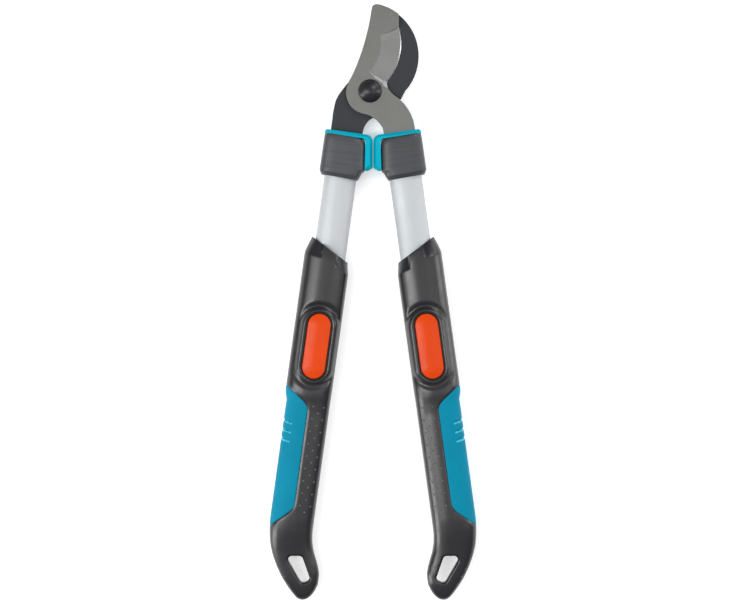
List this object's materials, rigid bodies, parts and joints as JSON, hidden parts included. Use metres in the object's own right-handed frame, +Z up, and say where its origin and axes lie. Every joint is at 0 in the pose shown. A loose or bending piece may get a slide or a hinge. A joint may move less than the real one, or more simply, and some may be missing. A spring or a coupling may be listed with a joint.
{
  "type": "bypass loppers",
  "caption": "Bypass loppers with a curved blade that passes a hook, and handles that telescope on oval tubes and lock with rocker buttons.",
  "frame": {"origin": "centre of the bounding box in X and Y, on the table the closed tool lies on", "axes": "+Y from the grips to the jaws, +X across the handles towards the one that carries the cutting blade, +Z up from the table, out of the front face"},
  "size_m": [0.181, 0.5218, 0.032],
  "materials": {
    "cutting_steel": "satin, fine coating over ground steel",
    "hook_steel": "dark non-stick coating, matte",
    "black_steel": "blackened, semi-gloss",
    "zinc_steel": "zinc plated",
    "aluminium": "anodised, satin",
    "dark_plastic": "fine moulded texture",
    "grey_plastic": "satin moulded",
    "inner_plastic": "plain moulded",
    "soft_blue": "soft-touch elastomer",
    "orange_plastic": "satin gloss",
    "spring_steel": "drawn wire"
  },
  "bodies": {
    "left_half": {"hook_blade": "hook_steel", "pivot_bolt": "black_steel", "head_washer": "inner_plastic", "nut_washer": "zinc_steel", "lock_nut": "zinc_steel", "nut_locking_ring": "soft_blue", "left_tube": "aluminium", "left_collar": "grey_plastic", "left_buffer": "soft_blue", "left_tang_insert": "inner_plastic", "left_tang_pins": "zinc_steel", "left_end_guide": "inner_plastic"},
    "right_half": {"cutting_blade": "cutting_steel", "right_tube": "aluminium", "right_collar": "grey_plastic", "right_buffer": "soft_blue", "right_tang_insert": "inner_plastic", "right_tang_pins": "zinc_steel", "right_end_guide": "inner_plastic"},
    "left_handle": {"left_sleeve": "dark_plastic", "left_grip_pad": "soft_blue", "left_liner": "inner_plastic", "left_lock_frame": "inner_plastic", "left_rocker_pin": "zinc_steel", "left_lock_spring": "spring_steel"},
    "right_handle": {"right_sleeve": "dark_plastic", "right_grip_pad": "soft_blue", "right_liner": "inner_plastic", "right_lock_frame": "inner_plastic", "right_rocker_pin": "zinc_steel", "right_lock_spring": "spring_steel"},
    "left_button": {"left_rocker": "orange_plastic", "left_lock_tooth": "zinc_steel"},
    "right_button": {"right_rocker": "orange_plastic", "right_lock_tooth": "zinc_steel"}
  },
  "joints": [
    {"name": "jaw_pivot", "type": "hinge", "parent": "left_half", "child": "right_half", "pos_m": [-0.0026, 0.18467, 0.0155], "axis": [0, 0, 1], "range_deg": [0, 60]},
    {"name": "left_telescope", "type": "slide", "parent": "left_half", "child": "left_handle", "axis": [-0.1357, -0.9907, 0], "range_m": [0, 0.15]},
    {"name": "right_telescope", "type": "slide", "parent": "right_half", "child": "right_handle", "axis": [0.1357, -0.9907, 0], "range_m": [0, 0.15]},
    {"name": "left_lock_button", "type": "hinge", "parent": "left_handle", "child": "left_button", "pos_m": [-0.04924, -0.03853, 0.0286], "axis": [0.9907, -0.1357, 0], "range_deg": [0, 5.2], "stiffness_Nm_per_rad": 0.3, "springref_deg": -8.59, "deforming": ["left_lock_spring"]},
    {"name": "right_lock_button", "type": "hinge", "parent": "right_handle", "child": "right_button", "pos_m": [0.04924, -0.03853, 0.0286], "axis": [0.9907, 0.1357, 0], "range_deg": [0, 5.2], "stiffness_Nm_per_rad": 0.3, "springref_deg": -8.59, "deforming": ["right_lock_spring"]}
  ]
}
